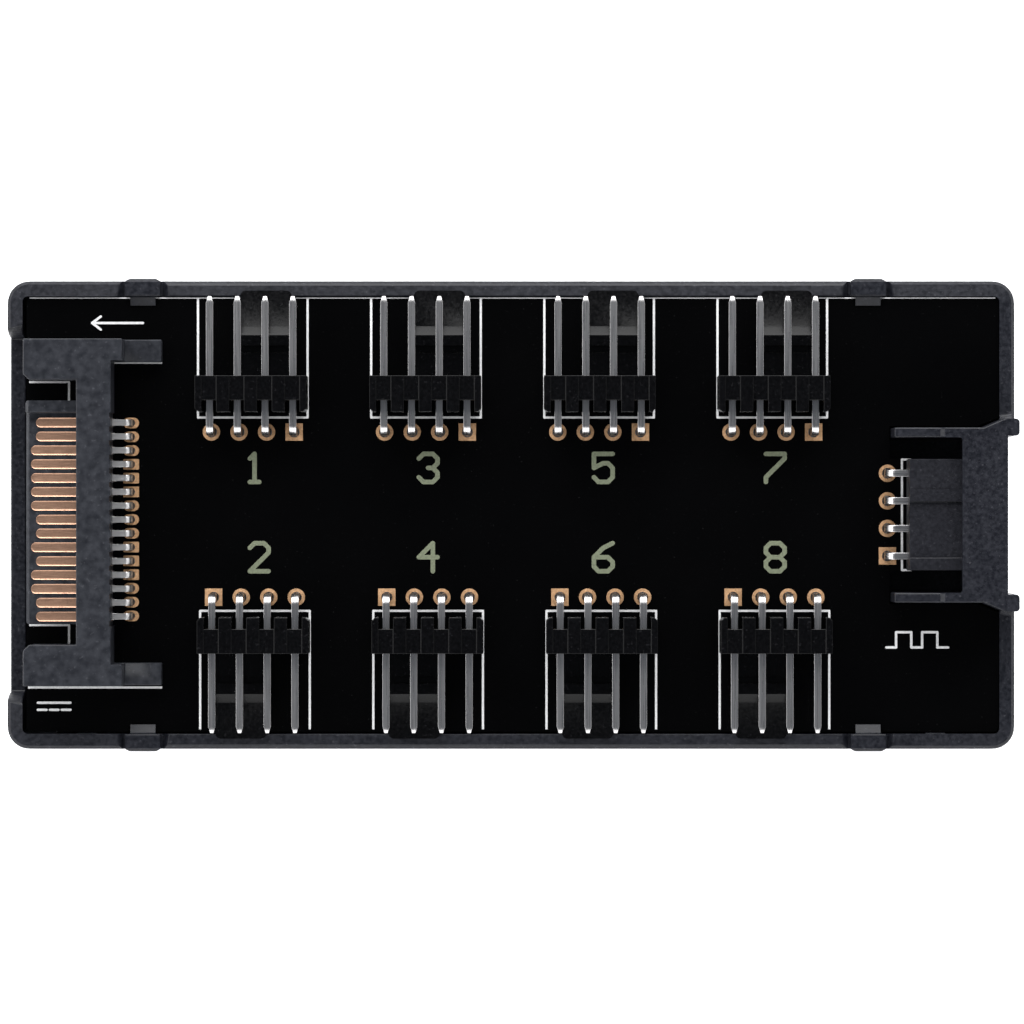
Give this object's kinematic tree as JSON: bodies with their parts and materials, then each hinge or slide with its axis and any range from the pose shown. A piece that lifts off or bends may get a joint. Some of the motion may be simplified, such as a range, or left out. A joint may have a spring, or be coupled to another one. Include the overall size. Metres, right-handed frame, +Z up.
{
  "type": "pc fan controller hub",
  "caption": "Flat hub that feeds PC fans from one power plug and one control signal: a black board snapped in a moulded tray, with fan headers along both long sides",
  "frame": {"origin": "centre of the case's underside, on the surface it rests on", "axes": "+X along the case from the power inlet to the control input, +Y across it to the odd-numbered channels, +Z up, out of the board's face"},
  "size_m": [0.0928, 0.0436, 0.0135],
  "materials": {
    "case_plastic": "moulded black plastic with a blue cast, fine satin grain",
    "board_mask": "gloss black solder mask on glass-fibre board",
    "header_plastic": "black moulded connector plastic",
    "inlet_plastic": "dark grey moulded connector plastic",
    "shroud_plastic": "black-brown moulded connector plastic",
    "pin_metal": "tin-plated drawn wire",
    "contact_metal": "gold-flashed copper-alloy strip",
    "pad_copper": "bare gold-plated copper pad",
    "solder": "bright solder",
    "magnet_nickel": "nickel-plated magnet",
    "chip_plastic": "black moulded chip body",
    "chip_legs": "tinned legs",
    "fuse_plastic": "dark green fuse body",
    "capacitor_ceramic": "brown ceramic",
    "resistor_ceramic": "black glazed resistor"
  },
  "bodies": {
    "root": {"tray": "case_plastic", "board": "board_mask", "plated_holes": "pad_copper", "solder_joints": "solder", "magnet_1": "magnet_nickel", "magnet_2": "magnet_nickel", "magnet_3": "magnet_nickel", "magnet_4": "magnet_nickel", "fan_header_1_base": "header_plastic", "fan_header_2_base": "header_plastic", "fan_header_3_base": "header_plastic", "fan_header_4_base": "header_plastic", "fan_header_5_base": "header_plastic", "fan_header_6_base": "header_plastic", "fan_header_7_base": "header_plastic", "fan_header_8_base": "header_plastic", "fan_header_1_pins": "pin_metal", "fan_header_2_pins": "pin_metal", "fan_header_3_pins": "pin_metal", "fan_header_4_pins": "pin_metal", "fan_header_5_pins": "pin_metal", "fan_header_6_pins": "pin_metal", "fan_header_7_pins": "pin_metal", "fan_header_8_pins": "pin_metal", "power_inlet_housing": "inlet_plastic", "power_contact_1": "contact_metal", "power_contact_2": "contact_metal", "power_contact_3": "contact_metal", "power_contact_4": "contact_metal", "power_contact_5": "contact_metal", "power_contact_6": "contact_metal", "power_contact_7": "contact_metal", "power_contact_8": "contact_metal", "power_contact_9": "contact_metal", "power_contact_10": "contact_metal", "power_contact_11": "contact_metal", "power_contact_12": "contact_metal", "power_contact_13": "contact_metal", "power_contact_14": "contact_metal", "power_contact_15": "contact_metal", "control_input_shroud": "shroud_plastic", "control_input_pins": "pin_metal", "buffer_chip": "chip_plastic", "buffer_chip_legs": "chip_legs", "input_fuse": "fuse_plastic", "smoothing_capacitors": "capacitor_ceramic", "signal_resistors": "resistor_ceramic"}
  },
  "joints": []
}
